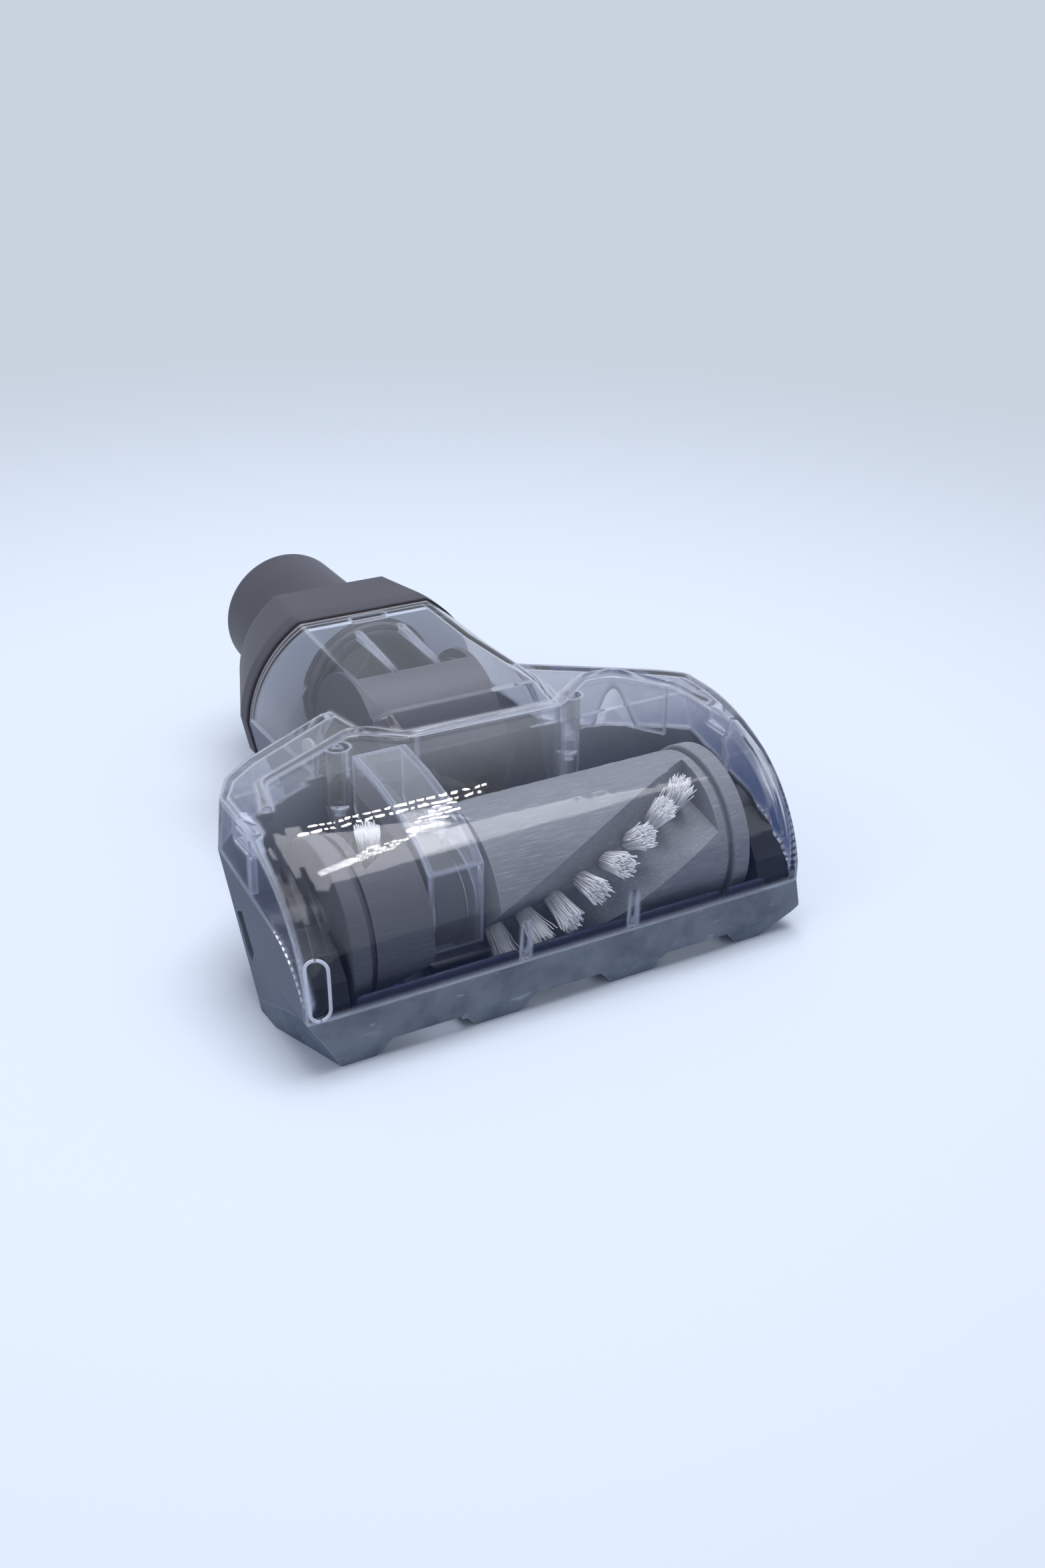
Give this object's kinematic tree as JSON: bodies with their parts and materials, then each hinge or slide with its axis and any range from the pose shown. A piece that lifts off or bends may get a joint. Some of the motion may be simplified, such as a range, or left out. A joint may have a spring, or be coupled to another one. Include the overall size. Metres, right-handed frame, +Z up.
{
  "type": "vacuum turbo brush",
  "caption": "Air driven turbo brush head with a clear hood over a twisted bristle roll, a clear neck over the turbine and a round swivel nozzle.",
  "frame": {"origin": "middle of the floor area that the tool covers, on the floor", "axes": "+X to the right across the head, +Y from the front lip back to the hose nozzle, +Z up"},
  "size_m": [0.1425, 0.1776, 0.0613],
  "materials": {
    "clear_shell": "clear moulded polycarbonate",
    "housing_grey": "moulded satin",
    "sole_grey": "moulded satin, worn",
    "charcoal": "moulded matte",
    "black_plastic": "moulded matte",
    "roll_grey": "moulded, fine turned streaks",
    "white_bristle": "nylon bristle",
    "turbine_grey": "moulded",
    "pulley_plastic": "acetal",
    "belt_rubber": "matte",
    "gasket_rubber": "matte",
    "steel": "ground",
    "screw_steel": "zinc plated",
    "bronze": "sintered"
  },
  "bodies": {
    "housing": {"clear_cover": "clear_shell", "belt_guard": "clear_shell", "lower_housing": "housing_grey", "sole_plate": "sole_grey", "neck_collar": "charcoal", "end_block_left": "black_plastic", "end_block_right": "black_plastic", "belt_guard_foot": "black_plastic", "turbine_housing": "turbine_grey", "drive_belt": "belt_rubber", "neck_gasket": "gasket_rubber", "turbine_bearing_left": "steel", "turbine_bearing_right": "steel", "thrust_washer_left": "steel", "thrust_washer_right": "steel", "cover_screws": "screw_steel", "sole_screws": "screw_steel", "brush_bush_left": "bronze", "brush_bush_right": "bronze"},
    "brush_roll": {"brush_core_left": "roll_grey", "brush_core_right": "roll_grey", "bristles_left": "white_bristle", "bristles_right": "white_bristle", "brush_pulley": "pulley_plastic", "brush_axle": "steel"},
    "turbine_wheel": {"impeller": "turbine_grey", "turbine_shaft": "steel", "turbine_pulley": "pulley_plastic"},
    "nozzle": {"nozzle_cuff": "charcoal", "nozzle_ring": "charcoal"}
  },
  "joints": [
    {"name": "brush_spin", "type": "hinge", "parent": "housing", "child": "brush_roll", "pos_m": [0, -0.0628, 0.0233], "axis": [1, 0, 0], "continuous": true},
    {"name": "turbine_spin", "type": "hinge", "parent": "housing", "child": "turbine_wheel", "pos_m": [0, -0.0008, 0.0334], "axis": [1, 0, 0], "continuous": true},
    {"name": "nozzle_swivel", "type": "hinge", "parent": "housing", "child": "nozzle", "pos_m": [0, 0.0562, 0.0385], "axis": [0, 1, 0], "continuous": true}
  ],
  "couplings": [
    {"joint": "turbine_spin", "follows": "brush_spin", "ratio": 2}
  ]
}
